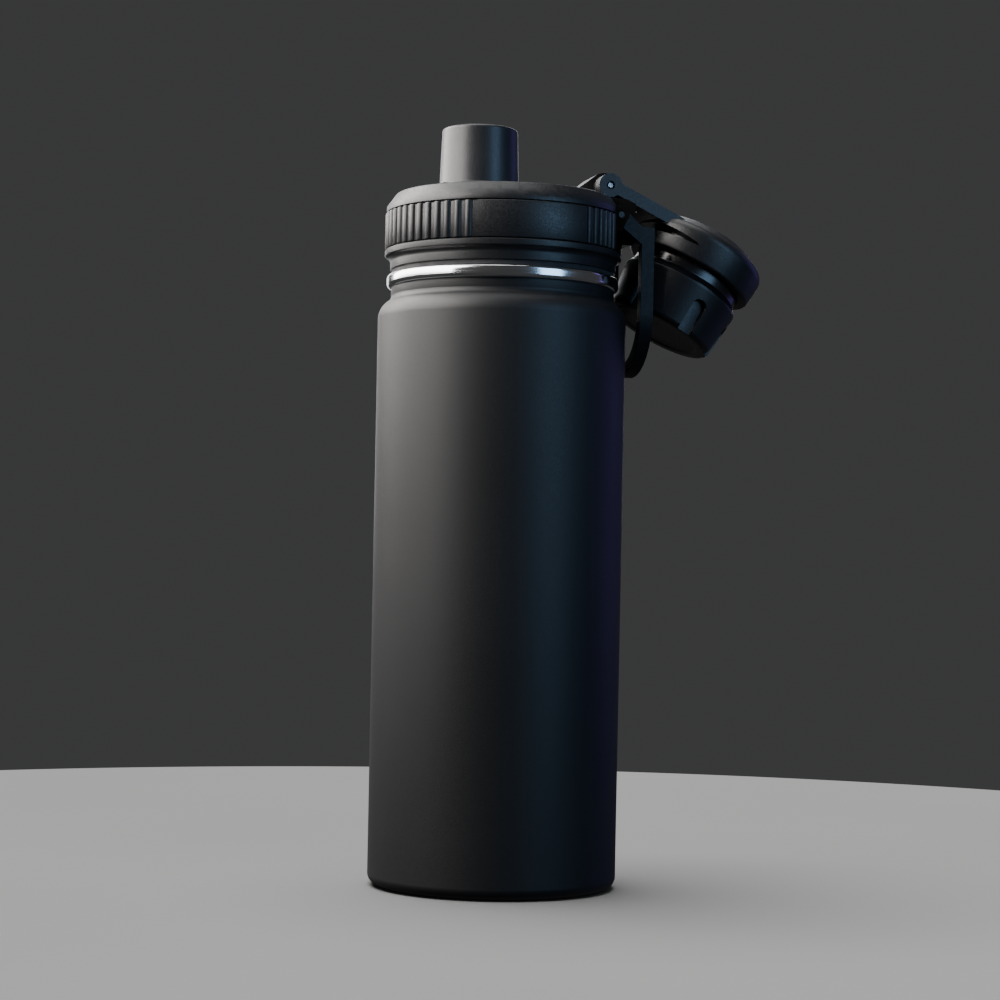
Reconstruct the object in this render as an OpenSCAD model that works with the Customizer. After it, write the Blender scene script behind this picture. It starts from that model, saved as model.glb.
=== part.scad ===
// Insulated drinking flask: a double-walled steel bottle, a screw lid with a drinking spout,
// a flip cap with a twist knob, and a carry loop. Millimetres, +Z up. The origin is the centre
// of the base pad's underside, and +X runs to the cap hinge. The cap is drawn open.

/* [Bottle] */
// Outer radius of the bottle wall
bottle_r = 36.5; // [36.2:0.1:36.7]
// Height at which the shoulder starts
shoulder_z = 166; // [165:0.5:167]
// Radius of the convex shoulder
shoulder_round = 6; // [5.5:0.5:6.5]
// Outer radius of the neck
neck_r = 32.8; // [32.6:0.1:33]
// Radius of the corner at the base
base_round = 3; // [2.5:0.5:4]
// Thickness of the outer steel wall
shell_wall = 0.8; // [0.7:0.1:0.9]
// Inner radius of the inner vessel
vessel_r = 32.5; // [32:0.1:32.8]
// Thickness of the inner steel wall
vessel_wall = 0.6; // [0.5:0.1:0.7]
// Height of the inner floor above the table
vessel_floor = 11.5; // [11:0.5:14]

/* [Mouth and thread] */
// Inner radius of the mouth
mouth_r = 30.8; // [30.7:0.1:30.9]
// Height of the underside of the bare steel lip
lip_bottom = 175.2; // [175:0.1:175.4]
// Height of the top of the bare steel lip
lip_top = 179.1; // [179:0.1:179.2]
// Outer radius of the lip
lip_r = 34.1; // [33.8:0.1:34.3]
// Rise of the lid's thread in one turn
thread_pitch = 4; // [4:0.5:4.5]
// Height that the thread ridges reach out of their walls
thread_depth = 1.8; // [1.5:0.1:1.8]

/* [Lid] */
// Largest radius of the lid
lid_r = 34.8; // [34.7:0.1:34.9]
// Height of the lid's lower edge
lid_bottom = 180.4; // [180.3:0.1:180.5]
// Height of the lid's rim
lid_top = 202.45; // [202.3:0.05:202.5]
// Height of the lower edge of the grip band
grip_bottom = 186.1; // [185.8:0.1:186.4]
// Height of the upper edge of the grip band
grip_top = 197.2; // [197:0.1:197.4]
// Angle between two ribs of the grip band
rib_pitch = 5.5; // [5.5:0.5:7.5]
// Half the angle that a smooth panel covers
panel_half = 28; // [24:1:29]
// Outer radius of the lid's threaded plug
plug_r = 28.6; // [28.5:0.1:28.7]
// Height of the plug's lower end
plug_bottom = 165; // [164:0.5:166]

/* [Spout] */
// Distance of the spout's axis from the bottle's axis, away from the hinge
spout_offset = 7.7; // [7.5:0.1:7.9]
// Height of the spout's rim
spout_top = 222.1; // [221:0.1:222.1]
// Outer radius of the spout at its rim
spout_r = 11.1; // [10.9:0.1:11.1]
// Inner radius of the drinking passage
passage_r = 9.3; // [8.5:0.1:9.5]

/* [Hinge] */
// Distance of the hinge pin from the bottle's axis
pin_x = 28.9; // [28.8:0.1:29]
// Height of the hinge pin
pin_z = 206.4; // [206.3:0.1:206.5]
// Radius of the hinge pin
pin_r = 0.9; // [0.8:0.1:1]
// Radius of the hinge knuckles
knuckle_r = 3.5; // [3.3:0.1:3.5]
// Width of the cap's arm
arm_w = 25; // [24:0.5:26]
// Angle from the closed cap to the open cap shown
cap_open = 208.5; // [208:0.5:208.5]
// Slope of the arm against the plane of the cap's ring
arm_slope = 3.5; // [3:0.5:3.5]

/* [Cap] */
// Outer radius of the cap's ring
ring_r = 20.25; // [20:0.05:20.4]
// Radius of the glossy collar that the ring holds
collar_r = 16.7; // [16.5:0.1:16.8]
// Largest radius of the twist knob
knob_r = 18.2; // [18:0.1:18.3]
// Height of the knob's crown above the hinge pin when the cap is closed
crown_rise = 26.6; // [26:0.2:26.6]
// Number of finger recesses in the knob
recess_count = 6; // [3:1:8]
// Width of a finger recess
recess_w = 4.4; // [3.5:0.1:5]

/* [Carry loop] */
// Distance of the loop's legs from the bottle's axis
loop_x = 36.9; // [36.9:0.1:37.2]
// Thickness of the loop, outwards
loop_t = 3.9; // [3.7:0.1:4.1]
// Overall width of the loop
loop_w = 36.4; // [36.2:0.1:36.4]
// Width of the bar that the loop is made of
loop_bar = 3; // [3:0.1:3.1]
// Height of the loop's lowest edge
loop_bottom = 151.2; // [148:0.1:152]
// Radius of the loop's lower outer corners
loop_round = 18; // [16:0.5:18]

/* [Hidden] */

fine = 96;          // facets of a round face
eps = 0.01;         // overlap that keeps joined solids in one piece
far = 60;           // longer than anything that it cuts through

foot_gap = 0.5;                 // height of the shell's turned-in edge above the table
base_edge_r = 31;               // inner radius of that edge
fillet_r = 2;                   // concave fillet between the shoulder and the neck
cover_t = 0.8;                  // base cover and vacuum plate thickness
plate_z = 5;                    // underside of the vacuum plate
vessel_round = 8;               // corner at the inner floor
foil_t = 0.2;

shoulder_c = bottle_r - shoulder_round;
fillet_z = shoulder_z
    + sqrt(pow(shoulder_round + fillet_r, 2) - pow(neck_r + fillet_r - shoulder_c, 2));
tangent_a = atan2(fillet_z - shoulder_z, neck_r + fillet_r - shoulder_c);

thread_w = 1.9;                 // width of a thread ridge at its root
thread_tip_w = 0.9;             // and at its crest
thread_turn = 380;              // angle that each ridge covers
thread_steps = 52;
vessel_thread_z = 169.2;        // height at which the neck's ridge starts

deck_z = lid_top - 1.5;         // recessed deck inside the rim
deck_t = 1.7;
rim_inner_r = 29.4;
collar_low_r = 33.2;            // lid's collar above the bottle's lip
channel_r = 33.5;               // floor of the grip band's channel
grip_gap = 0.25;                // shadow gap above and below the grip band
rib_r = 1.25;
plug_wall = 1.6;
flange_t = 1.8;
lid_wall_r = 31.9;              // inner radius of the lid's wall
gasket_gap = 0.05;

tube_r = 10.8;                  // spout's hidden lower tube
bayonet_r = 12.4;               // collar at the foot of the spout
lug_r = 13.5;                   // reach of its two lugs
lug_top = 205.3;
lug_t = 1.1;
lug_half = 28;                  // half the angle that a lug covers

lug_w = 12.6;                   // width of the lid's hinge lug
fork_gap = 13.2;                // space between the arm's two ears
bracket_half = 19.4;            // half the bracket's width
bracket_x = 25.6;               // its inner face
block_half = 14.1;              // half the width of its centre block
block_x = 36.2;                 // outer face of that block
loop_pin_x = 30.2;
loop_pin_z = 196.9;
loop_pin_r = 1.1;
eye_r = 2.4;
pocket_half = 18.5;             // outer side of the pockets that the loop's eyes sit in
running = 0.06;                 // radial clearance of a turning pin

lug_knuckle_r = 4.5;            // knuckle of the lid's hinge lug

// Heights of the closed cap are counted from the hinge pin
spout_x = -spout_offset;
ring_low = -5.1;                // ring's faces
ring_high = 7.2;
ring_edge = 3.2;                // radius of the ring's shoulder on the lid's side
ring_edge_s = 0.1;
ring_bore = collar_r + 0.2;
ring_lip = 13.9;                // hole that the spout passes through
lip_s = -3.7;                   // inner face of the lip round that hole
pocket_low = 3.2;               // groove that holds the collar's flange
pocket_high = 5.3;
pocket_r = 18.5;
arm_low = -2;
arm_high = 1.6;
arm_reach = 30;
slot_s = 3.4;                   // slot between the arm and the ring's crown side
cavity_r = 14;                  // cap's inside, which swings clear of the spout
skirt_low = -3.6;
cap_seal_t = 1.2;
cap_roof = spout_top - pin_z + 0.05 + cap_seal_t;
cap_roof_t = 1.2;
inner_cup_r = 15;               // collar's part inside the knob
collar_flare_s = 10.2;          // where the collar flares out to meet the knob
knob_low = 12.3;
crown_round = 1.7;
recess_start = 16;
recess_floor_r = 15.7;
recess_turn = -79;              // bearing of the first recess, from the hinge's far side

loop_leg_top = 193.8;
loop_low_bar = 3.6;

function arc(cx, cy, r, a0, a1, n = 8) =
    [for (i = [0 : n]) let (a = a0 + (a1 - a0) * i / n) [cx + r * cos(a), cy + r * sin(a)]];

function reversed(points) = [for (i = [len(points) - 1 : -1 : 0]) points[i]];

// Outline of the bottle's wall from the base corner to the neck, moved inwards by inset
function wall_line(inset, top) = concat(
    [[base_edge_r, foot_gap + inset]],
    arc(bottle_r - base_round, foot_gap + base_round, base_round - inset, -90, 0),
    arc(shoulder_c, shoulder_z, shoulder_round - inset, 0, tangent_a, 10),
    arc(neck_r + fillet_r, fillet_z, fillet_r + inset, 180 + tangent_a, 180, 6),
    [[neck_r - inset, top]]);

module turned(points) {
    rotate_extrude($fn = fine) polygon(points);
}

module ring(r_in, r_out, z0, z1) {
    translate([0, 0, z0]) linear_extrude(z1 - z0) difference() {
        circle(r_out, $fn = fine);
        circle(r_in, $fn = fine);
    }
}

module disc(r, z0, z1) {
    translate([0, 0, z0]) cylinder(r = r, h = z1 - z0, $fn = fine);
}

// Slice that covers the angles a0 to a1, to cut flat shapes with
module slice(a0, a1) {
    polygon(concat([[0, 0]], arc(0, 0, far, a0, a1)));
}

// Flat shape given in X and Z, made width wide and centred on the XZ plane
module across(width) {
    rotate([90, 0, 0]) translate([0, 0, -width / 2]) linear_extrude(width) children();
}

// The same, from y0 to y1 on both sides
module on_both_sides(y0, y1) {
    for (side = [-1, 1])
        translate([0, side * (y0 + y1) / 2, 0]) across(y1 - y0) children();
}

// Helical ridge on a wall: out is 1 on a plug and -1 inside a neck
module thread_ridge(wall_r, z0, out) {
    root = wall_r - out * 0.3;
    crest = wall_r + out * thread_depth;
    section = [[root, -thread_w / 2], [crest, -thread_tip_w / 2],
        [crest, thread_tip_w / 2], [root, thread_w / 2]];
    points = [for (i = [0 : thread_steps]) let (a = thread_turn * i / thread_steps)
        for (p = section)
            [p[0] * cos(a), p[0] * sin(a), z0 + thread_pitch * a / 360 + p[1]]];
    sides = [for (i = [0 : thread_steps - 1], j = [0 : 3])
        [i * 4 + j, i * 4 + (j + 1) % 4, (i + 1) * 4 + (j + 1) % 4, (i + 1) * 4 + j]];
    last = thread_steps * 4;
    caps = [[3, 2, 1, 0], [last, last + 1, last + 2, last + 3]];
    faces = concat(sides, caps);
    polyhedron(points, out < 0 ? [for (f = faces) reversed(f)] : faces, convexity = 8);
}

// ---------------------------------------------------------------- bottle

module outer_shell() {
    color("#26282b") turned(concat(
        wall_line(0, lip_bottom), reversed(wall_line(shell_wall, lip_bottom))));
}

module inner_vessel() {
    out_r = vessel_r + vessel_wall;
    neck_out = mouth_r + vessel_wall;
    step_low = 162.5;
    step_high = 167;
    lip_round = 1.3;
    color("#c9cbcd") union() {
        turned(concat(
            [[0, vessel_floor - vessel_wall]],
            arc(out_r - vessel_round, vessel_floor - vessel_wall + vessel_round,
                vessel_round, -90, 0),
            [[out_r, step_low], [neck_out, step_high], [neck_out, lip_bottom]],
            arc(lip_r - lip_round, lip_bottom + lip_round, lip_round, -90, 0, 6),
            arc(lip_r - lip_round, lip_top - lip_round, lip_round, 0, 90, 6),
            arc(mouth_r + 1, lip_top - 1, 1, 90, 180, 5),
            [[mouth_r, step_high], [vessel_r, step_low]],
            arc(vessel_r - (vessel_round - vessel_wall), vessel_floor + vessel_round - vessel_wall,
                vessel_round - vessel_wall, 0, -90),
            [[0, vessel_floor]]));
        thread_ridge(mouth_r, vessel_thread_z, -1);
    }
}

module base_plate() {
    dish = 1.8;
    r = bottle_r - shell_wall;
    color("#a9acb0") turned([
        [1.2, plate_z + dish], [4, plate_z + dish], [6, plate_z], [r, plate_z],
        [r, plate_z + 4], [r - cover_t, plate_z + 4], [r - cover_t, plate_z + cover_t],
        [6.4, plate_z + cover_t], [4.4, plate_z + dish + cover_t],
        [1.2, plate_z + dish + cover_t]]);
}

module seal_bead() {
    dish = plate_z + 1.8;
    color("#5a6b52") turned([[0, dish - 0.8], [3, dish - 0.8], [3.4, dish], [1.2, dish],
        [1.2, dish + cover_t], [0, dish + cover_t]]);
}

module getter() {
    color("#6d6d6d") translate([20, 0, 0]) disc(4, plate_z + cover_t, plate_z + cover_t + 2.5);
}

module foil_wrap() {
    color("#c98b52") ring(vessel_r + vessel_wall, vessel_r + vessel_wall + foil_t, 22, 158);
}

module base_cover() {
    color("#a9acb0") disc(bottle_r - base_round - 0.2, foot_gap + shell_wall,
        foot_gap + shell_wall + cover_t);
}

module base_pad() {
    r = base_edge_r - 0.4;
    color("#1b1b1c") turned([[0, 0], [r - 0.6, 0], [r, 0.6], [r, foot_gap + shell_wall],
        [0, foot_gap + shell_wall]]);
}

// ---------------------------------------------------------------- lid

module lid_gasket() {
    gasket_r = 32.6;
    step_r = lid_wall_r - 0.25;
    color("#141415") turned([[plug_r + 0.1, lip_top + gasket_gap],
        [gasket_r, lip_top + gasket_gap], [gasket_r, lid_bottom - gasket_gap],
        [step_r, lid_bottom - gasket_gap], [step_r, lid_bottom + gasket_gap],
        [plug_r + 0.1, lid_bottom + gasket_gap]]);
}

module lid_profile() {
    turned(concat(
        [[lid_wall_r - 0.15, lid_bottom], [collar_low_r - 0.2, lid_bottom],
            [collar_low_r, lid_bottom + 0.2]],
        arc(collar_low_r + 1.7, lid_bottom + 2.2, 1.7, 180, 100, 6),
        [[lid_r, 184.5], [lid_r, grip_bottom - 0.15], [lid_r - 0.15, grip_bottom],
            [channel_r, grip_bottom], [channel_r, grip_top], [34.4, grip_top],
            [34.5, grip_top + 0.1], [34.4, 198.9]],
        [[32, lid_top - 0.25], [31.7, lid_top], [rim_inner_r + 0.3, lid_top],
            [rim_inner_r, deck_z], [0, deck_z], [0, deck_z - deck_t],
            [lid_wall_r - 0.6, deck_z - deck_t], [lid_wall_r, deck_z - deck_t - 0.6],
            [lid_wall_r, lid_bottom + 2.6], [lid_wall_r - 0.15, lid_bottom + 2.4]]));
}

module lid_shell() {
    color("#2b2d30") difference() {
        lid_profile();
        translate([spout_x, 0, 0]) disc(tube_r + 0.05, deck_z - deck_t - 1, deck_z + 1);
        translate([spout_x, 0, 0]) disc(12, deck_z - 0.8, deck_z + 1);
        bracket_solid();
        loop_pockets();
    }
}

module grip_rib(angle) {
    rotate(angle) translate([lid_r - rib_r, 0]) circle(rib_r, $fn = 24);
}

module grip_ring() {
    bracket_a = asin(bracket_half / lid_r);
    back_ribs = floor((90 - panel_half - rib_r) / rib_pitch);
    front_room = 90 - panel_half - bracket_a;
    front_ribs = ceil(front_room / rib_pitch);
    front_pitch = front_room / front_ribs;
    color("#2b2d30") translate([0, 0, grip_bottom + grip_gap])
    linear_extrude(grip_top - grip_bottom - 2 * grip_gap) difference() {
        union() {
            circle(lid_r - 0.7, $fn = fine);
            for (side = [-1, 1]) {
                for (k = [0 : back_ribs - 1]) grip_rib(side * (180 - (k + 0.5) * rib_pitch));
                for (k = [0 : front_ribs - 1])
                    grip_rib(side * (bracket_a + (k + 0.5) * front_pitch));
                intersection() {
                    circle(lid_r - 0.15, $fn = fine);
                    slice(side * 90 - panel_half, side * 90 + panel_half);
                }
            }
        }
        circle(channel_r, $fn = fine);
        translate([0, -bracket_half - grip_gap])
            square([far, 2 * (bracket_half + grip_gap)]);
    }
}

module lid_core() {
    color("#1d1e20") difference() {
        union() {
            turned([[0, plug_bottom], [plug_r - 0.8, plug_bottom], [plug_r, plug_bottom + 0.8],
                [plug_r, lid_bottom + 0.1], [lid_wall_r - 0.2, lid_bottom + 0.1],
                [lid_wall_r - 0.2, lid_bottom + 0.1 + flange_t], [0, lid_bottom + 0.1 + flange_t]]);
            thread_ridge(plug_r, vessel_thread_z - thread_pitch / 2, 1);
        }
        disc(plug_r - plug_wall, plug_bottom - 1, lid_bottom + 0.1);
        translate([spout_x, 0, 0]) disc(tube_r + 0.05, plug_bottom, lid_top);
    }
}

module lid_insulation() {
    color("#e6e0cf") difference() {
        disc(plug_r - plug_wall - 0.1, plug_bottom + 1.7, lid_bottom);
        translate([spout_x, 0, 0]) disc(tube_r + 0.15, plug_bottom, lid_top);
    }
}

module plug_cover() {
    color("#1d1e20") difference() {
        disc(plug_r - plug_wall - 0.05, plug_bottom, plug_bottom + 1.6);
        translate([spout_x, 0, 0]) disc(tube_r + 0.05, plug_bottom - 1, lid_top);
    }
}

module spout() {
    foot_r = 11.65;
    color("#2f3235") translate([spout_x, 0, 0]) union() {
        turned(concat(
            [[passage_r, plug_bottom + 0.2], [tube_r, plug_bottom + 0.2], [tube_r, deck_z],
                [bayonet_r, deck_z], [bayonet_r, lug_top - 0.2], [bayonet_r - 0.2, lug_top],
                [foot_r, lug_top]],
            arc(spout_r - 0.9, spout_top - 0.9, 0.9, 0, 90, 6),
            arc(passage_r + 0.6, spout_top - 0.6, 0.6, 90, 180, 5)));
        translate([0, 0, lug_top - lug_t]) linear_extrude(lug_t) difference() {
            intersection() {
                circle(lug_r, $fn = fine);
                union() {
                    slice(-lug_half, lug_half);
                    slice(180 - lug_half, 180 + lug_half);
                }
            }
            circle(passage_r + 1, $fn = fine);
        }
    }
}

module spout_seal() {
    color("#141415") translate([spout_x, 0, 0]) ring(tube_r + 0.05, 11.95, deck_z - 0.8, deck_z);
}

// Bracket that carries the cap's hinge lug and the loop's pins, before its bores
module bracket_solid() {
    lug_foot_x = 16.6;
    lug_foot_half = 1.8;
    ramp_a = 36;
    intersection() {
        disc(lid_r, grip_bottom + grip_gap, grip_top);
        translate([bracket_x, -bracket_half, grip_bottom])
            cube([far, 2 * bracket_half, grip_top - grip_bottom + 1]);
    }
    intersection() {
        disc(lid_wall_r, grip_top - eps, deck_z - deck_t);
        translate([bracket_x, -bracket_half, grip_top - 1])
            cube([far, 2 * bracket_half, 10]);
    }
    across(2 * block_half) polygon([[bracket_x + 3, 188.8], [block_x - 1, 188.8],
        [block_x, 189.8], [block_x, 201.1], [33.1, 202.4], [bracket_x + 3, 202.4]]);
    intersection() {
        across(lug_w) union() {
            translate([pin_x, pin_z]) circle(lug_knuckle_r, $fn = fine);
            polygon([[lug_foot_x, deck_z - 1], [lug_foot_x, deck_z + 1.6],
                [pin_x - lug_knuckle_r * sin(ramp_a), pin_z + lug_knuckle_r * cos(ramp_a)],
                [pin_x, pin_z], [pin_x + lug_knuckle_r, pin_z],
                [pin_x + lug_knuckle_r, deck_z]]);
        }
        linear_extrude(2 * lid_top) polygon([[lug_foot_x, -lug_foot_half],
            [pin_x - 5, -lug_w / 2], [far, -lug_w / 2], [far, lug_w / 2],
            [pin_x - 5, lug_w / 2], [lug_foot_x, lug_foot_half]]);
    }
    on_both_sides(pocket_half, bracket_half) union() {
        translate([loop_pin_x, loop_pin_z]) circle(eye_r, $fn = fine);
        polygon([[bracket_x, 192], [30.3, 192], [loop_pin_x + eye_r, loop_pin_z - 0.4],
            [loop_pin_x, loop_pin_z + eye_r], [bracket_x, loop_pin_z + eye_r]]);
    }
}

module loop_pockets() {
    on_both_sides(block_half, pocket_half)
        polygon([[27.4, 190.8], [far, 190.8], [far, 199.8], [27.4, 199.8]]);
}

module hinge_bracket() {
    color("#25272a") difference() {
        bracket_solid();
        loop_pockets();
        translate([pin_x, 0, pin_z]) rotate([90, 0, 0])
            cylinder(r = pin_r, h = 2 * far, center = true, $fn = fine);
        for (side = [-1, 1])
            translate([loop_pin_x, side * (block_half + 3), loop_pin_z]) rotate([90, 0, 0])
                cylinder(r = loop_pin_r, h = 12, center = true, $fn = fine);
    }
}

module hinge_pin() {
    color("#d7d9db") translate([pin_x, 0, pin_z]) rotate([90, 0, 0])
        cylinder(r = pin_r, h = arm_w - 0.5, center = true, $fn = fine);
}

module loop_pins() {
    pin_in = block_half - 2.9;
    color("#d7d9db") for (side = [-1, 1])
        translate([loop_pin_x, side * (pin_in + bracket_half - 0.2) / 2, loop_pin_z])
            rotate([90, 0, 0]) cylinder(r = loop_pin_r, h = bracket_half - 0.2 - pin_in,
                center = true, $fn = fine);
}

// ---------------------------------------------------------------- cap, drawn closed and swung open

module swung_open() {
    translate([pin_x, 0, pin_z]) rotate([0, cap_open, 0]) children();
}

// Places turned cap pieces on the spout's axis, with heights counted from the pin
module on_cap_axis() {
    translate([spout_x - pin_x, 0, 0]) children();
}

// Ring that the knob's collar turns in, with a groove for the collar's flange
module cap_ring() {
    turned(concat([[ring_lip, ring_low + 0.8], [ring_lip + 0.7, ring_low]],
        arc(ring_r - ring_edge, ring_edge_s, ring_edge, -63, 0, 7),
        [[ring_r - 0.2, slot_s], [ring_r - 0.6, ring_high - 0.7]],
        arc(ring_r - 1.3, ring_high - 0.7, 0.7, 0, 90, 4),
        [[ring_bore, ring_high], [ring_bore, pocket_high], [pocket_r, pocket_high],
            [pocket_r, pocket_low], [ring_bore, pocket_low], [ring_bore, lip_s],
            [ring_lip, lip_s]]));
}

// Flat shape of the slot, given as distance from the pin and height
module slot_shape() {
    polygon([[8, slot_s], [31, slot_s - 0.3], [29.5, 2.3], [20, 0.75], [8, 1.5]]);
}

module cap_arm() {
    color("#2f3235") swung_open() difference() {
        union() {
            difference() {
                across(arm_w) union() {
                    circle(knuckle_r, $fn = fine);
                    rotate(arm_slope) translate([-arm_reach, arm_low])
                        square([arm_reach, arm_high - arm_low]);
                }
                on_cap_axis() disc(ring_lip + 0.2, -far, far);
                on_cap_axis() disc(ring_bore + 0.3, lip_s - 0.15, far);
            }
            on_cap_axis() cap_ring();
        }
        mirror([1, 0, 0]) across(2 * far) slot_shape();
        translate([-12, -fork_gap / 2, -10]) cube([30, fork_gap, 20]);
        rotate([90, 0, 0])
            cylinder(r = pin_r + running, h = arm_w + 2, center = true, $fn = fine);
        for (side = [-1, 1]) translate([0, side * arm_w / 2, 0]) rotate([90, 0, 0])
            cylinder(r = pin_r + 0.4, h = 1.4, center = true, $fn = fine);
    }
}

module cap_collar() {
    flange_r = pocket_r - 0.25;
    flange_low = pocket_low + 0.15;
    flange_high = pocket_high - 0.15;
    color("#0c0c0e") swung_open() on_cap_axis() union() {
        turned([[cavity_r, skirt_low], [collar_r - 0.4, skirt_low], [collar_r, skirt_low + 0.4],
            [collar_r, flange_low], [flange_r, flange_low], [flange_r, flange_high],
            [collar_r, flange_high], [collar_r, collar_flare_s], [knob_r - 0.1, knob_low - 0.1],
            [knob_r - 0.1, knob_low], [inner_cup_r, knob_low],
            [inner_cup_r, cap_roof + cap_roof_t], [0, cap_roof + cap_roof_t], [0, cap_roof],
            [cavity_r, cap_roof]]);
        translate([0, 0, skirt_low]) linear_extrude(1) difference() {
            intersection() {
                circle(cavity_r + 0.5, $fn = fine);
                for (a = [90, 270]) slice(a - 25, a + 25);
            }
            circle(bayonet_r + 0.2, $fn = fine);
        }
    }
}

module cap_seal() {
    color("#141415") swung_open() on_cap_axis()
        disc(cavity_r - 0.1, cap_roof - cap_seal_t, cap_roof);
}

module cap_knob() {
    cup_top = cap_roof + cap_roof_t + 0.05;
    crown_t = 1.7;
    dish = 0.5;
    color("#26282b") swung_open() on_cap_axis() difference() {
        turned(concat(
            [[inner_cup_r + 0.05, knob_low], [knob_r - 0.1, knob_low], [knob_r, knob_low + 0.1],
                [knob_r, knob_low + 0.6], [knob_r - 0.6, 18]],
            arc(knob_r - 1.4 - crown_round, crown_rise - crown_round, crown_round, 0, 90, 6),
            [[13, crown_rise], [12.4, crown_rise - dish], [0, crown_rise - dish],
                [0, crown_rise - dish - crown_t], [13.4, crown_rise - dish - crown_t],
                [13.8, cup_top], [inner_cup_r + 0.05, cup_top]]));
        for (k = [0 : recess_count - 1])
            rotate(180 - recess_turn + k * 360 / recess_count)
                translate([recess_floor_r, 0, recess_start + recess_w / 2]) rotate([0, 90, 0])
                    linear_extrude(10) union() {
                        circle(recess_w / 2, $fn = 48);
                        translate([-20, -recess_w / 2]) square([20, recess_w]);
                    }
    }
}

// ---------------------------------------------------------------- carry loop

module rounded_u(half, low, top, r) {
    polygon(concat([[-half, top]], arc(-half + r, low + r, r, 180, 270),
        arc(half - r, low + r, r, 270, 360), [[half, top]]));
}

module carry_loop() {
    half = loop_w / 2;
    color("#2b2d30") union() {
        translate([loop_x, 0, 0]) rotate([90, 0, 90]) linear_extrude(loop_t) difference() {
            rounded_u(half, loop_bottom, loop_leg_top, loop_round);
            rounded_u(half - loop_bar, loop_bottom + loop_low_bar, loop_leg_top + 1,
                loop_round - loop_bar);
        }
        on_both_sides(half - loop_bar, half) difference() {
            union() {
                translate([loop_pin_x, loop_pin_z]) circle(eye_r, $fn = fine);
                polygon([[loop_pin_x - 1.5, loop_pin_z - 1.87], [loop_x + 0.5, 188.4],
                    [loop_x + 0.5, loop_leg_top], [loop_x, loop_leg_top + 0.1],
                    [loop_pin_x + 1.48, loop_pin_z + 1.89]]);
            }
            translate([loop_pin_x, loop_pin_z]) circle(loop_pin_r + running, $fn = fine);
        }
    }
}

outer_shell();
inner_vessel();
base_plate();
seal_bead();
getter();
foil_wrap();
base_cover();
base_pad();
lid_gasket();
lid_shell();
grip_ring();
lid_core();
lid_insulation();
plug_cover();
spout();
spout_seal();
hinge_bracket();
hinge_pin();
loop_pins();
cap_arm();
cap_collar();
cap_seal();
cap_knob();
carry_loop();
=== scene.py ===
"""Insulated drinking flask: its looks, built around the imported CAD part. Metres, +Z up, hinge towards +X."""
import math

import bmesh
import bpy
from mathutils import Matrix, Vector


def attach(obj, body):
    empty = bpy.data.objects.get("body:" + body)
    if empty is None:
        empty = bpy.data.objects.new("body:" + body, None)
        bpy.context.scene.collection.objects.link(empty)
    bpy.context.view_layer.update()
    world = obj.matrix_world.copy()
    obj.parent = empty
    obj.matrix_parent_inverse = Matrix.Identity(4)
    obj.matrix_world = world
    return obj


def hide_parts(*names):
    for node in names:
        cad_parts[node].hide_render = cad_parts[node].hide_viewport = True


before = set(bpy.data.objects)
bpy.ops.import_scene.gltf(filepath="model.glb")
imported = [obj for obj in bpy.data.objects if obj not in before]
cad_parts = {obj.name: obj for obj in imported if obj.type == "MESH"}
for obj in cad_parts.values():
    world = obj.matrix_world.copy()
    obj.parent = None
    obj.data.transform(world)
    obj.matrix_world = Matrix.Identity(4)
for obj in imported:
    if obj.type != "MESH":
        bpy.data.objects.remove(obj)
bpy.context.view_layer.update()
MM = 0.001

# ---------------------------------------------------------------- sizes from the design, in millimetres

BOTTLE_R = 36.5
SHOULDER_Z = 166.0
SHOULDER_ROUND = 6.0
NECK_R = 32.8
FILLET_R = 2.0
BASE_ROUND = 3.0
FOOT_GAP = 0.5
FOOT_R = 31.0
SHELL_WALL = 0.8
NECK_LINE_Z = 171.0

MOUTH_R = 30.8
VESSEL_R = 32.5
VESSEL_WALL = 0.6
VESSEL_FLOOR = 11.5
VESSEL_ROUND = 8.0
LIP_LOW = 175.2
LIP_HIGH = 179.1
LIP_R = 34.1
LIP_ROUND = 1.3
THREAD_PITCH = 4.0
THREAD_DEPTH = 1.8
THREAD_Z = 169.2
THREAD_TURN = 380.0
STEP_LOW = 162.5
STEP_HIGH = 167.0

LID_R = 34.8
GRIP_LOW = 186.35
GRIP_HIGH = 196.95
CHANNEL_R = 33.5
RIB_R = 1.25
RIB_PITCH = 5.5
RIB_VALLEY = 0.7
PANEL_INSET = 0.15
BAND_EDGE = 0.32
BRACKET_A = 33.88
BAND_END_GAP = 0.5
PANEL_HALF = 28.0

SPOUT_X = -7.7
SPOUT_R = 11.1
SPOUT_FOOT_R = 11.65
SPOUT_TOP = 222.1
SPOUT_LOW = 165.2
PASSAGE_R = 9.3
TUBE_R = 10.8
DECK_Z = 200.95
BAYONET_R = 12.4
LUG_R = 13.5
LUG_TOP = 205.3
LUG_T = 1.1
LUG_HALF = 28.0

PIN_X = 28.9
PIN_Z = 206.4
PIN_R = 0.9
PIN_HALF = 12.25
LOOP_PIN_X = 30.2
LOOP_PIN_Z = 196.9
LOOP_PIN_R = 1.1
LOOP_PIN_IN = 11.2
LOOP_PIN_OUT = 19.2
CAP_OPEN = 208.5
CAP_AXIS_T = PIN_X - SPOUT_X
KNOB_LOW = 12.3
KNOB_R = 18.2
CROWN_S = 26.6
CROWN_ROUND = 1.7
FLARE_S = 10.2
COLLAR_R = 16.7
RECESS_START = 16.0
RECESS_W = 4.4
RECESS_FLOOR_R = 15.7
RECESS_TURN = -79.0
RECESSES = 6
CROWN_DISH = 0.5
CUP_R = 15.05
CUP_TOP = 18.2
CUP_STEP_R = 13.6

CAVITY_R = 14.0
SKIRT_S = -3.6
ROOF_S = 16.95
FLANGE_R = 18.25
FLANGE_LOW = 3.35
FLANGE_HIGH = 5.15
CAP_LUG_R = 12.6
CAP_LUG_HALF = 25.0

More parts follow.
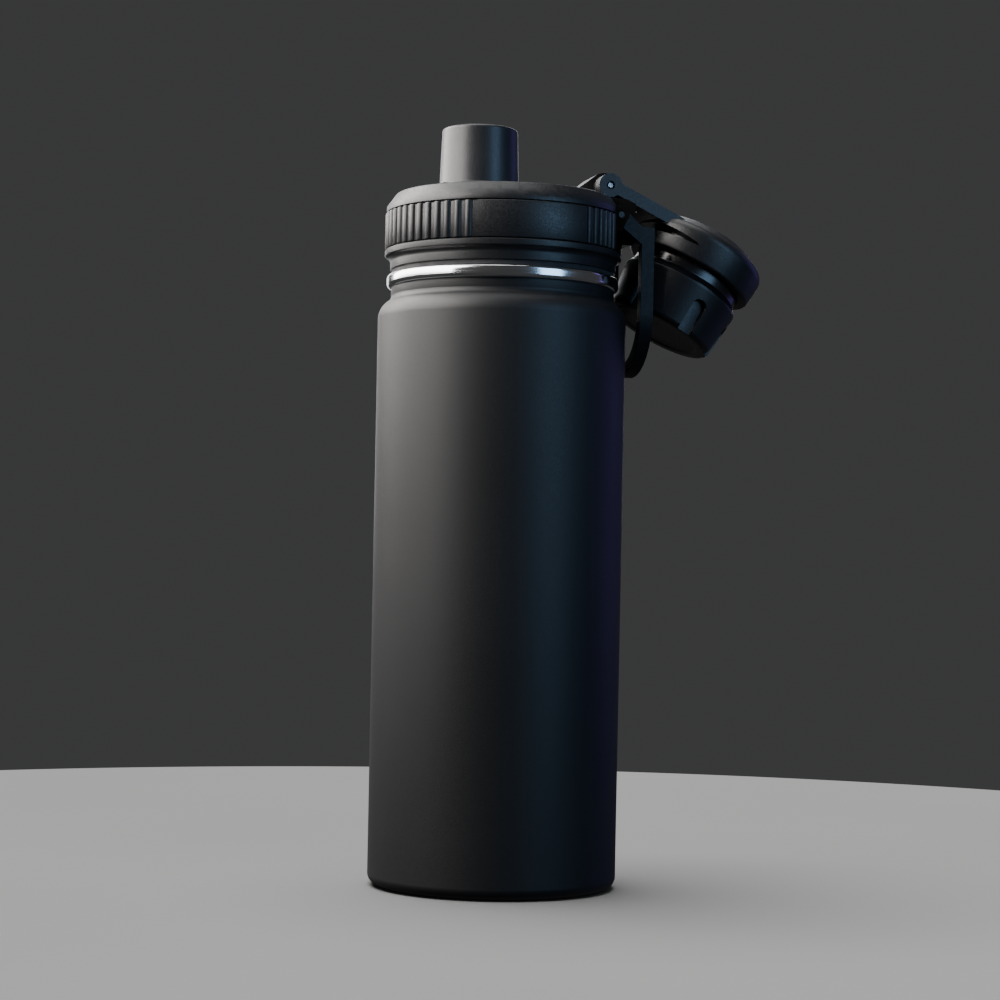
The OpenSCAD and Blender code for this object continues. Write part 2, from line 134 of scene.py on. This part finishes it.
WELD = 1e-3
AXIS_R = 1e-4


# ---------------------------------------------------------------- node materials

class Shader:
    """A Principled material, with short calls for the nodes that feed it."""

    def __init__(self, name, base, roughness, metallic=0.0, **fixed):
        self.material = bpy.data.materials.new(name)
        self.material.use_nodes = True
        self.tree = self.material.node_tree
        self.bsdf = self.tree.nodes["Principled BSDF"]
        self.bsdf.inputs["Base Color"].default_value = (*base, 1)
        self.bsdf.inputs["Roughness"].default_value = roughness
        self.bsdf.inputs["Metallic"].default_value = metallic
        for socket, value in fixed.items():
            self.bsdf.inputs[socket.replace("_", " ")].default_value = value
        self.place = self.tree.nodes.new("ShaderNodeTexCoord").outputs["Object"]

    def stretched(self, scale):
        node = self.tree.nodes.new("ShaderNodeMapping")
        node.inputs["Scale"].default_value = scale
        self.tree.links.new(self.place, node.inputs["Vector"])
        return node.outputs["Vector"]

    def noise(self, scale, detail=2.0, rough=0.5, vector=None):
        node = self.tree.nodes.new("ShaderNodeTexNoise")
        node.inputs["Scale"].default_value = scale
        node.inputs["Detail"].default_value = detail
        node.inputs["Roughness"].default_value = rough
        self.tree.links.new(vector or self.place, node.inputs["Vector"])
        return node.outputs["Fac"]

    def cells(self, scale):
        node = self.tree.nodes.new("ShaderNodeTexVoronoi")
        node.feature = "SMOOTH_F1"
        node.inputs["Scale"].default_value = scale
        node.inputs["Smoothness"].default_value = 0.6
        self.tree.links.new(self.place, node.inputs["Vector"])
        return node.outputs["Distance"]

    def remapped(self, value, low, high, from_low=0.35, from_high=0.65):
        node = self.tree.nodes.new("ShaderNodeMapRange")
        for socket, number in zip(("From Min", "From Max", "To Min", "To Max"),
                                  (from_low, from_high, low, high)):
            node.inputs[socket].default_value = number
        self.tree.links.new(value, node.inputs["Value"])
        return node.outputs["Result"]

    def vary_roughness(self, value, low, high):
        self.tree.links.new(self.remapped(value, low, high), self.bsdf.inputs["Roughness"])
        return self

    def vary_colour(self, value, low, high):
        node = self.tree.nodes.new("ShaderNodeMix")
        node.data_type = "RGBA"
        node.inputs["A"].default_value = (*low, 1)
        node.inputs["B"].default_value = (*high, 1)
        self.tree.links.new(self.remapped(value, 0, 1), node.inputs["Factor"])
        self.tree.links.new(node.outputs["Result"], self.bsdf.inputs["Base Color"])
        return self

    def bump(self, *layers):
        """Each layer is (height, distance in metres, strength); they are stacked."""
        normal = None
        for height, distance, strength in layers:
            node = self.tree.nodes.new("ShaderNodeBump")
            node.inputs["Distance"].default_value = distance
            node.inputs["Strength"].default_value = strength
            self.tree.links.new(height, node.inputs["Height"])
            if normal:
                self.tree.links.new(normal, node.inputs["Normal"])
            normal = node.outputs["Normal"]
        self.tree.links.new(normal, self.bsdf.inputs["Normal"])
        return self


def powder_coat():
    s = Shader("powder_coat", (0.005, 0.0053, 0.006), 0.5, Specular_IOR_Level=0.4)
    grain, orange_peel, cloud = s.noise(2600, 3), s.noise(520, 2), s.noise(22, 3)
    s.vary_colour(cloud, (0.004, 0.0043, 0.005), (0.006, 0.0064, 0.0072))
    s.vary_roughness(s.noise(1600, 3), 0.49, 0.54)
    return s.bump((grain, 0.00004, 0.5), (orange_peel, 0.00006, 0.12)).material


def moulded_plastic(name, grain_scale, base, rough, gloss=0.4):
    s = Shader(name, base, rough, Specular_IOR_Level=gloss)
    grain, flow = s.cells(grain_scale), s.noise(60, 3)
    s.vary_colour(flow, [c * 0.88 for c in base], [c * 1.15 for c in base])
    s.vary_roughness(s.noise(grain_scale * 0.7, 2), rough - 0.06, rough + 0.07)
    return s.bump((grain, 0.00004, 0.5), (s.noise(300, 2), 0.00004, 0.2)).material


def gloss_plastic():
    s = Shader("gloss_black", (0.004, 0.004, 0.005), 0.26, Specular_IOR_Level=0.6)
    s.vary_roughness(s.noise(140, 4), 0.23, 0.3)
    return s.bump((s.noise(180, 2), 0.00002, 0.06)).material


def steel(name, rough, brushed):
    s = Shader(name, (0.76, 0.76, 0.77), rough, metallic=1.0)
    rings = s.noise(1, 3, vector=s.stretched(brushed))
    s.vary_colour(s.noise(35, 3), (0.7, 0.7, 0.715), (0.8, 0.8, 0.805))
    s.vary_roughness(rings, rough * 0.75, rough * 1.3)
    return s.bump((rings, 0.00001, 0.25)).material


def rubber():
    s = Shader("rubber", (0.02, 0.02, 0.021), 0.75, Specular_IOR_Level=0.35)
    s.vary_colour(s.noise(90, 3), (0.016, 0.016, 0.017), (0.026, 0.026, 0.028))
    s.vary_roughness(s.noise(600, 2), 0.66, 0.82)
    return s.bump((s.noise(1800, 2), 0.00004, 0.4)).material


def inside_stuff(name, low, high, rough, metallic, scale):
    s = Shader(name, low, rough, metallic)
    s.vary_colour(s.noise(scale, 3), low, high)
    s.vary_roughness(s.noise(scale * 2, 2), rough * 0.85, min(1, rough * 1.15))
    return s.bump((s.noise(scale * 3, 3), 0.00008, 0.4)).material


COAT = powder_coat()
PLASTIC = moulded_plastic("lid_plastic", 2400, (0.008, 0.0084, 0.0095), 0.42)
SATIN = moulded_plastic("spout_plastic", 3200, (0.016, 0.017, 0.019), 0.38)
KNOB_PLASTIC = moulded_plastic("knob_plastic", 2600, (0.006, 0.0063, 0.0075), 0.42)
# The carry loop's plastic is darker and less glossy than the lid's. This is painted shade, standing in for the
# shadow the loop sits in under the cap.
SHADED_LOOP_PLASTIC = moulded_plastic("loop_plastic_painted_shade", 2400, (0.005, 0.0053, 0.0062), 0.5, 0.22)
GLOSS = gloss_plastic()
LIP_STEEL = steel("lip_steel", 0.16, (60, 60, 5200))
PIN_STEEL = steel("pin_steel", 0.12, (900, 900, 900))
DARK_PIN = moulded_plastic("dark_pin", 2600, (0.01, 0.0105, 0.012), 0.45)
RUBBER = rubber()
FOIL = inside_stuff("foil", (0.62, 0.35, 0.2), (0.8, 0.5, 0.3), 0.25, 1.0, 160)
FOAM = inside_stuff("foam", (0.7, 0.66, 0.56), (0.84, 0.8, 0.7), 0.9, 0.0, 500)
SOLDER = inside_stuff("solder", (0.2, 0.24, 0.18), (0.3, 0.34, 0.28), 0.4, 0.0, 700)
PELLET = inside_stuff("pellet", (0.2, 0.2, 0.2), (0.36, 0.36, 0.36), 0.8, 0.6, 900)


# ---------------------------------------------------------------- mesh building

def arc(cx, cy, r, a0, a1, n=12):
    """Points of an arc, angles in degrees."""
    angles = [math.radians(a0 + (a1 - a0) * i / n) for i in range(n + 1)]
    return [(cx + r * math.cos(a), cy + r * math.sin(a)) for a in angles]


def object_from(bm, name, angle):
    """Makes an object of bm, which is in millimetres, with edges sharp past the angle."""
    bmesh.ops.recalc_face_normals(bm, faces=bm.faces)
    mesh = bpy.data.meshes.new(name)
    bm.to_mesh(mesh)
    bm.free()
    mesh.transform(Matrix.Scale(MM, 4))
    mesh.shade_smooth()
    mesh.set_sharp_from_angle(angle=math.radians(angle))
    obj = bpy.data.objects.new(name, mesh)
    bpy.context.scene.collection.objects.link(obj)
    return obj


def add_object(name, bm, body, material, replaces, angle=32):
    """Makes a visible piece that takes a CAD node's place on its body."""
    obj = object_from(bm, name, angle)
    obj.data.materials.append(material)
    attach(obj, body)
    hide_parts(replaces)
    return obj


def loft(bm, rows, closed_rows=True):
    """Joins rows of points with quads. The first and last row are joined too when closed_rows."""
    rings = [[bm.verts.new(p) for p in row] for row in rows]
    pairs = list(zip(rings, rings[1:] + rings[:1] if closed_rows else rings[1:]))
    for a, b in pairs:
        for i in range(len(a)):
            j = (i + 1) % len(a)
            if (a[i].co - a[j].co).length < 1e-9 and (b[i].co - b[j].co).length < 1e-9:
                continue
            bm.faces.new((a[i], a[j], b[j], b[i]))
    return rings


def lathe(bm, profile, segments=256, axis_x=0.0, closed=True):
    """Turns a profile of (radius, height) round the vertical line at axis_x."""
    turns = [2 * math.pi * k / segments for k in range(segments)]
    kept = [(max(r, AXIS_R), z) for r, z in profile]
    rows = [[(axis_x + r * math.cos(t), r * math.sin(t), z) for t in turns] for r, z in kept]
    loft(bm, rows, closed)
    bmesh.ops.remove_doubles(bm, verts=bm.verts, dist=WELD)


def capped_loft(bm, rows):
    """Lofts open rows and closes both ends."""
    rings = loft(bm, rows, closed_rows=False)
    for ring in (rings[0], rings[-1]):
        bm.faces.new(ring)


def helix_ridge(bm, wall_r, z0, steps=240):
    """Trapezium thread ridge inside a neck. It runs out into the wall at both ends."""
    run_outs, in_wall, sunk_end, bevel = 14, 0.3, 0.25, 0.15
    root_half, foot_half, side_half, crest_half = 0.95, 0.9, 0.5, 0.3
    rows = []
    for i in range(steps + 1):
        share = i / steps
        fade = min(1.0, run_outs * share, run_outs * (1 - share))
        a = math.radians(THREAD_TURN * share)
        z = z0 + THREAD_PITCH * THREAD_TURN * share / 360
        root, crest = wall_r + in_wall, wall_r - (THREAD_DEPTH * fade - sunk_end * (1 - fade))
        upper = [(crest, crest_half), (crest + bevel, side_half), (wall_r, foot_half), (root, root_half)]
        section = [(r, -h) for r, h in upper[::-1]] + upper
        rows.append([(r * math.cos(a), r * math.sin(a), z + h) for r, h in section])
    capped_loft(bm, rows)


def moulded_copy(node, name, body, material, bevel, angle=32, segments=3):
    """The CAD node's shape with its edges rounded off, as a mould leaves them."""
    bm = bmesh.new()
    bm.from_mesh(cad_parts[node].data)
    bmesh.ops.scale(bm, vec=(1 / MM,) * 3, verts=bm.verts)
    bmesh.ops.remove_doubles(bm, verts=bm.verts, dist=WELD)
    flat_within = math.radians(0.6)
    bmesh.ops.dissolve_limit(bm, angle_limit=flat_within, verts=bm.verts, edges=bm.edges)
    sharp = [e for e in bm.edges if len(e.link_faces) == 2
             and e.calc_face_angle(0) > math.radians(angle)]
    if bevel:
        bmesh.ops.bevel(bm, geom=sharp, offset=bevel, segments=segments, profile=0.5,
                        affect="EDGES", clamp_overlap=True)
    obj = add_object(name, bm, body, material, node, angle=40)
    flat = obj.modifiers.new("flat_faces", "WEIGHTED_NORMAL")
    flat.keep_sharp = True
    return obj


# ---------------------------------------------------------------- bottle

def wall_outline(inset, top, with_line):
    centre = BOTTLE_R - SHOULDER_ROUND
    span = NECK_R + FILLET_R - centre
    fillet_z = SHOULDER_Z + math.sqrt((SHOULDER_ROUND + FILLET_R) ** 2 - span ** 2)
    tangent = math.degrees(math.atan2(fillet_z - SHOULDER_Z, span))
    neck = NECK_R - inset
    groove, floor_half, mouth_half = 0.14, 0.12, 0.35
    line = [(neck, NECK_LINE_Z - mouth_half), (neck - groove, NECK_LINE_Z - floor_half),
            (neck - groove, NECK_LINE_Z + floor_half), (neck, NECK_LINE_Z + mouth_half)] if with_line else []
    return ([(FOOT_R, FOOT_GAP + inset)]
            + arc(BOTTLE_R - BASE_ROUND, FOOT_GAP + BASE_ROUND, BASE_ROUND - inset, -90, 0)
            + arc(centre, SHOULDER_Z, SHOULDER_ROUND - inset, 0, tangent, 28)
            + arc(NECK_R + FILLET_R, fillet_z, FILLET_R + inset, 180 + tangent, 180, 14)
            + line + [(neck, top)])


def make_bottle():
    bm = bmesh.new()
    outline = wall_outline(0, LIP_LOW, True) + wall_outline(SHELL_WALL, LIP_LOW, False)[::-1]
    lathe(bm, outline, 320)
    add_object("bottle_wall", bm, "bottle", COAT, "outer_shell")


def make_vessel():
    out_r, neck_out = VESSEL_R + VESSEL_WALL, MOUTH_R + VESSEL_WALL
    inner_round = VESSEL_ROUND - VESSEL_WALL
    profile = ([(0, VESSEL_FLOOR - VESSEL_WALL)]
               + arc(out_r - VESSEL_ROUND, VESSEL_FLOOR - VESSEL_WALL + VESSEL_ROUND,
                     VESSEL_ROUND, -90, 0)
               + [(out_r, STEP_LOW), (neck_out, STEP_HIGH), (neck_out, LIP_LOW)]
               + arc(LIP_R - LIP_ROUND, LIP_LOW + LIP_ROUND, LIP_ROUND, -90, 0, 14)
               + arc(LIP_R - LIP_ROUND, LIP_HIGH - LIP_ROUND, LIP_ROUND, 0, 90, 14)
               + arc(MOUTH_R + 1, LIP_HIGH - 1, 1, 90, 180)
               + [(MOUTH_R, STEP_HIGH), (VESSEL_R, STEP_LOW)]
               + arc(VESSEL_R - inner_round, VESSEL_FLOOR + inner_round, inner_round, 0, -90)
               + [(0, VESSEL_FLOOR)])
    bm = bmesh.new()
    lathe(bm, profile, 320, closed=False)
    helix_ridge(bm, MOUTH_R, THREAD_Z)
    add_object("steel_vessel", bm, "bottle", LIP_STEEL, "inner_vessel")


# ---------------------------------------------------------------- lid

def grip_outline():
    """Outer outline of the ribbed band, from one side of the bracket to the other."""
    ribs = []
    back_ribs = int((90 - PANEL_HALF - RIB_R) // RIB_PITCH)
    front_room = 90 - PANEL_HALF - BRACKET_A
    front_ribs = math.ceil(front_room / RIB_PITCH)
    for side in (-1, 1):
        ribs += [side * (180 - (k + 0.5) * RIB_PITCH) for k in range(back_ribs)]
        ribs += [side * (BRACKET_A + (k + 0.5) * front_room / front_ribs) for k in range(front_ribs)]
    points = []
    steps = 2400
    for i in range(steps + 1):
        a = BRACKET_A + BAND_END_GAP + (360 - 2 * (BRACKET_A + BAND_END_GAP)) * i / steps
        r = LID_R - RIB_VALLEY
        if abs((a % 180) - 90) < PANEL_HALF:
            r = LID_R - PANEL_INSET
        for rib in ribs:
            off = (a - rib + 180) % 360 - 180
            side_step = math.radians(off) * (LID_R - RIB_R)
            if abs(side_step) < RIB_R:
                r = max(r, LID_R - RIB_R + math.sqrt(RIB_R ** 2 - side_step ** 2))
        points.append((r, a))
    return points


def make_grip():
    outline = grip_outline()
    nick = 0.1

    def row(shrink, z):
        outer = [((r - shrink) * math.cos(math.radians(a)), (r - shrink) * math.sin(math.radians(a)), z)
                 for r, a in outline]
        inner = [(CHANNEL_R * math.cos(math.radians(a)), CHANNEL_R * math.sin(math.radians(a)), z)
                 for r, a in outline[::-8]]
        return outer + inner

    rows = [row(BAND_EDGE, GRIP_LOW), row(nick, GRIP_LOW + nick), row(0, GRIP_LOW + BAND_EDGE),
            row(0, GRIP_HIGH - BAND_EDGE), row(nick, GRIP_HIGH - nick), row(BAND_EDGE, GRIP_HIGH)]
    bm = bmesh.new()
    capped_loft(bm, rows)
    add_object("grip_band", bm, "lid", PLASTIC, "grip_ring", angle=50)


def spout_lug(bm, middle):
    """Bayonet lug on the spout's foot, lower at both ends to lead the cap in."""
    steps, lead_in, end_share, bevel = 48, 4, 0.25, 0.25
    root, low, high = BAYONET_R - 0.6, LUG_TOP - LUG_T, LUG_TOP
    section = [(root, low), (LUG_R - bevel, low), (LUG_R, low + bevel),
               (LUG_R, high - bevel), (LUG_R - bevel, high), (root, high)]
    rows = []
    for i in range(steps + 1):
        a = math.radians(middle - LUG_HALF + 2 * LUG_HALF * i / steps)
        end = min(1.0, min(i, steps - i) / lead_in + end_share)
        reaches = [(root + (r - root) * end, z) for r, z in section]
        rows.append([(SPOUT_X + r * math.cos(a), r * math.sin(a), z) for r, z in reaches])
    capped_loft(bm, rows)


def make_spout():
    edge, foot, rim_out, rim_in = 0.3, 0.35, 0.9, 0.6
    profile = ([(PASSAGE_R, SPOUT_LOW), (TUBE_R, SPOUT_LOW), (TUBE_R, DECK_Z)]
               + [(BAYONET_R, DECK_Z), (BAYONET_R, LUG_TOP - foot)]
               + arc(BAYONET_R - edge, LUG_TOP - edge, edge, 0, 90, 5)
               + arc(SPOUT_FOOT_R + foot, LUG_TOP + foot, foot, -90, -180, 5)
               + arc(SPOUT_R - rim_out, SPOUT_TOP - rim_out, rim_out, 0, 90, 12)
               + arc(PASSAGE_R + rim_in, SPOUT_TOP - rim_in, rim_in, 90, 180, 10))
    bm = bmesh.new()
    lathe(bm, profile, 256, axis_x=SPOUT_X)
    for middle in (0, 180):
        spout_lug(bm, middle)
    add_object("drinking_spout", bm, "lid", SATIN, "spout")


def pin_mesh(name, body, material, x, z, r, ends, node):
    """Round pins along Y with chamfered ends, as a lathe laid on its side."""
    chamfer = 0.2
    place = Matrix.Translation((x, 0, z)) @ Matrix.Rotation(-math.pi / 2, 4, "X")
    bm = bmesh.new()
    for y0, y1 in ends:
        profile = [(0, y0), (r - chamfer, y0), (r, y0 + chamfer), (r, y1 - chamfer),
                   (r - chamfer, y1), (0, y1)]
        part = bmesh.new()
        lathe(part, profile, 64, closed=False)
        bmesh.ops.transform(part, matrix=place, verts=part.verts)
        scratch = bpy.data.meshes.new("scratch")
        part.to_mesh(scratch)
        part.free()
        bm.from_mesh(scratch)
        bpy.data.meshes.remove(scratch)
    add_object(name, bm, body, material, node)


# ---------------------------------------------------------------- cap

def into_open_cap(bm):
    """Moves cap pieces from the cap's own axis, heights counted from the pin, to where they hang open."""
    place = (Matrix.Translation((PIN_X, 0, PIN_Z)) @ Matrix.Rotation(math.radians(CAP_OPEN), 4, "Y")
             @ Matrix.Translation((-CAP_AXIS_T, 0, 0)))
    bmesh.ops.transform(bm, matrix=place, verts=bm.verts)


def knob_outer():
    """The knob's outside as (radius, height), closely spaced so that the recesses are crisp."""
    top_r = KNOB_R - 1.4
    key = ([(15.2, KNOB_LOW), (KNOB_R - 0.1, KNOB_LOW), (KNOB_R, KNOB_LOW + 0.1),
            (KNOB_R, KNOB_LOW + 0.6), (KNOB_R - 0.6, 18.0)]
           + arc(top_r - CROWN_ROUND, CROWN_S - CROWN_ROUND, CROWN_ROUND, 0, 90, 16)
           + [(13.2, CROWN_S)])
    dense = []
    for (r0, s0), (r1, s1) in zip(key, key[1:]):
        steps = max(1, int(math.hypot(r1 - r0, s1 - s0) / 0.14))
        dense += [(r0 + (r1 - r0) * i / steps, s0 + (s1 - s0) * i / steps) for i in range(steps)]
    return dense + [key[-1]]


def smooth_step(x):
    x = max(0.0, min(1.0, x))
    return x * x * (3 - 2 * x)


def make_knob():
    columns, edge = 1080, 0.22
    half = RECESS_W / 2
    rows = []
    for r, s in knob_outer():
        row = []
        for k in range(columns):
            angle = 360 * k / columns
            off = (angle - (180 - RECESS_TURN)) % (360 / RECESSES)
            off = min(off, 360 / RECESSES - off)
            across = math.radians(off) * RECESS_FLOOR_R
            top = s - (RECESS_START + half)
            reach = math.hypot(across, top) if top < 0 else across
            depth = smooth_step((half - reach) / edge)
            floor = min(r, RECESS_FLOOR_R)
            radius = r + (floor - r) * depth
            a = math.radians(angle)
            row.append((radius * math.cos(a), radius * math.sin(a), s))
        rows.append(row)
    turns = [2 * math.pi * k / columns for k in range(columns)]
    dish_s, centre_r = CROWN_S - CROWN_DISH, 1e-3
    crown = [(12.9, CROWN_S - 0.08), (12.5, CROWN_S - 0.42), (12.1, dish_s), (6, dish_s),
             (centre_r, dish_s)]
    rows += [[(r * math.cos(t), r * math.sin(t), s) for t in turns] for r, s in crown]
    roof_s = CROWN_S - 2.2
    cup = [(CUP_R, KNOB_LOW), (CUP_R, CUP_TOP), (CUP_STEP_R, CUP_TOP), (CUP_STEP_R - 0.2, roof_s),
           (centre_r, roof_s)]
    inside = [[(r * math.cos(t), r * math.sin(t), s) for t in turns] for r, s in cup]
    bm = bmesh.new()
    loft(bm, inside[::-1] + rows, closed_rows=False)
    bmesh.ops.remove_doubles(bm, verts=bm.verts, dist=2e-3)
    into_open_cap(bm)
    add_object("twist_knob", bm, "knob", KNOB_PLASTIC, "cap_knob", angle=60)


def collar_lug(bm, middle):
    """Bayonet lug inside the collar's skirt."""
    steps, bevel, lug_t = 32, 0.15, 1
    root, low, high = CAVITY_R + 0.5, SKIRT_S, SKIRT_S + lug_t
    section = [(root, low), (CAP_LUG_R + bevel, low), (CAP_LUG_R, low + bevel),
               (CAP_LUG_R, high - bevel), (CAP_LUG_R + bevel, high), (root, high)]
    turns = [math.radians(middle + CAP_LUG_HALF * (2 * i / steps - 1)) for i in range(steps + 1)]
    capped_loft(bm, [[(r * math.cos(a), r * math.sin(a), s) for r, s in section] for a in turns])


def make_collar():
    edge, fillet, roof_t = 0.4, 0.6, 1.2
    profile = ([(CAVITY_R, SKIRT_S), (COLLAR_R - edge, SKIRT_S)]
               + arc(COLLAR_R - edge, SKIRT_S + edge, edge, -90, 0, 5)
               + [(COLLAR_R, FLANGE_LOW), (FLANGE_R, FLANGE_LOW), (FLANGE_R, FLANGE_HIGH),
                  (COLLAR_R, FLANGE_HIGH), (COLLAR_R, FLARE_S - 0.3)]
               + arc(COLLAR_R + 0.7, FLARE_S - 0.2, 0.7, 180, 145, 5)
               + [(KNOB_R - 0.25, KNOB_LOW - 0.25), (KNOB_R - 0.12, KNOB_LOW - 0.1),
                  (KNOB_R - 0.12, KNOB_LOW), (15, KNOB_LOW), (15, ROOF_S + roof_t),
                  (0, ROOF_S + roof_t), (0, ROOF_S)]
               + arc(CAVITY_R - fillet, ROOF_S - fillet, fillet, 90, 0, 5))
    bm = bmesh.new()
    lathe(bm, profile, 288)
    for middle in (90, 270):
        collar_lug(bm, middle)
    into_open_cap(bm)
    add_object("gloss_collar", bm, "knob", GLOSS, "cap_collar")


# ---------------------------------------------------------------- carried-over CAD pieces

def finish_cad_nodes():
    looks = {"base_plate": PIN_STEEL, "seal_bead": SOLDER, "getter": PELLET, "foil_wrap": FOIL,
             "base_cover": PIN_STEEL, "base_pad": RUBBER, "lid_gasket": RUBBER, "lid_core": PLASTIC,
             "lid_insulation": FOAM, "plug_cover": PLASTIC, "spout_seal": RUBBER, "cap_seal": RUBBER}
    for node, material in looks.items():
        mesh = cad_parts[node].data
        mesh.materials.clear()
        mesh.materials.append(material)
        mesh.shade_smooth()
        mesh.set_sharp_from_angle(angle=math.radians(30))


# ---------------------------------------------------------------- studio

CAMERA_TURN = -15.2


def make_stage():
    """Pale round table top, whose far edge shows behind the flask. The flask doesn't mirror it."""
    table_r, table_t, edge = 420, 18, 2
    profile = ([(0, -table_t), (table_r - edge, -table_t)]
               + arc(table_r - edge, -table_t + edge, edge, -90, 0, 4)
               + arc(table_r - edge, -edge, edge, 0, 90, 4) + [(table_r / 2, 0), (0, 0)])
    bm = bmesh.new()
    lathe(bm, profile, 180, closed=False)
    stage = object_from(bm, "pale_stage", 30)
    paint = Shader("stage_paint", (0.7, 0.695, 0.69), 0.9, Specular_IOR_Level=0.2)
    paint.vary_colour(paint.noise(3, 2), (0.68, 0.675, 0.67), (0.72, 0.715, 0.71))
    stage.data.materials.append(paint.material)
    stage.visible_diffuse = False
    stage.visible_glossy = False
    return stage


def all_but(name, objects):
    """Light group that leaves some objects out, so that the light passes them by."""
    group = bpy.data.collections.new(name)
    for obj in objects:
        group.objects.link(obj)
    for member in group.collection_objects:
        member.light_linking.link_state = "EXCLUDE"
    return group


def area_light(group, name, place, target, size, radiance, colour):
    """Softbox of an even brightness that lights one group alone."""
    data = bpy.data.lights.new(name, "AREA")
    data.shape = "RECTANGLE"
    data.size, data.size_y = size
    data.energy = radiance * math.pi * size[0] * size[1]
    data.color = colour
    light = bpy.data.objects.new(name, data)
    light.location = place
    light.rotation_euler = (Vector(target) - Vector(place)).to_track_quat("-Z", "Y").to_euler()
    light.visible_camera = False
    light.light_linking.receiver_collection = group
    bpy.context.scene.collection.objects.link(light)


def round_about(turn, distance, height):
    """Place at an angle from the camera's direction, to the right, seen from above."""
    angle = math.radians(CAMERA_TURN - 90 + turn)
    return distance * math.cos(angle), distance * math.sin(angle), height


def make_lights(stage, shaded):
    world = bpy.data.worlds.new("studio")
    world.use_nodes = True
    world.node_tree.nodes["Background"].inputs["Color"].default_value = (0.93, 0.94, 0.96, 1)
    world.node_tree.nodes["Background"].inputs["Strength"].default_value = 0.05
    bpy.context.scene.world = world
    flask = all_but("all_but_stage", [stage])
    front = all_but("all_but_shaded", [stage, *shaded])
    area_light(flask, "key_left", round_about(-92, 0.42, 0.45), (0, 0, 0.22), (0.95, 0.48), 13,
               (1.0, 0.965, 0.93))
    area_light(front, "fill_right", round_about(48, 0.8, 0.36), (0, 0, 0.15), (0.34, 0.6), 4.6,
               (0.36, 0.64, 1.0))
    area_light(flask, "rim_right", round_about(122, 0.8, 0.3), (0, 0, 0.16), (0.3, 0.6), 0.8,
               (0.3, 0.2, 1.0))
    area_light(flask, "back_soft", round_about(185, 0.9, 0.45), (0, 0, 0.13), (0.7, 0.7), 2.2,
               (0.95, 0.97, 1.0))
    sun = bpy.data.lights.new("top_soft", "SUN")
    sun.energy = 2.0
    sun.angle = math.radians(50)
    top = bpy.data.objects.new("top_soft", sun)
    top.rotation_euler = (math.radians(-8), math.radians(-6), 0)
    bpy.context.scene.collection.objects.link(top)


def make_camera():
    """Seen from the front left at mid height and level, with a slight roll and a raised view."""
    azimuth, distance, height, roll = math.radians(CAMERA_TURN), 0.7, 0.09219, 0.0196052
    ahead = Vector((-math.sin(azimuth), math.cos(azimuth), 0))
    data = bpy.data.cameras.new("camera")
    data.sensor_width = 36
    data.lens = 85.47
    data.shift_x, data.shift_y = 0.0031, 0.0727
    data.clip_end = 20
    camera = bpy.data.objects.new("camera", data)
    turn = ahead.to_track_quat("-Z", "Y").to_matrix().to_4x4() @ Matrix.Rotation(roll, 4, "Z")
    camera.matrix_world = Matrix.Translation(Vector((0, 0, height)) - ahead * distance) @ turn
    bpy.context.scene.collection.objects.link(camera)
    bpy.context.scene.camera = camera


make_bottle()
make_vessel()
make_grip()
make_spout()
make_knob()
make_collar()
moulded_copy("lid_shell", "lid_moulding", "lid", PLASTIC, 0.15,
             angle=56)
bracket = moulded_copy("hinge_bracket", "bracket_moulding", "lid", PLASTIC, 0.25)
moulded_copy("cap_arm", "arm_moulding", "cap", PLASTIC, 0.35)
# The loop is given the darker plastic as painted shade.
moulded_copy("carry_loop", "loop_moulding", "loop", SHADED_LOOP_PLASTIC, 0.9,
             segments=5)
pin_mesh("hinge_axle", "lid", PIN_STEEL, PIN_X, PIN_Z, PIN_R, [(-PIN_HALF, PIN_HALF)],
         "hinge_pin")
pin_mesh("loop_axles", "lid", DARK_PIN, LOOP_PIN_X, LOOP_PIN_Z, LOOP_PIN_R,
         [(-LOOP_PIN_OUT, -LOOP_PIN_IN), (LOOP_PIN_IN, LOOP_PIN_OUT)], "loop_pins")
finish_cad_nodes()
make_lights(make_stage(), [bracket])
make_camera()
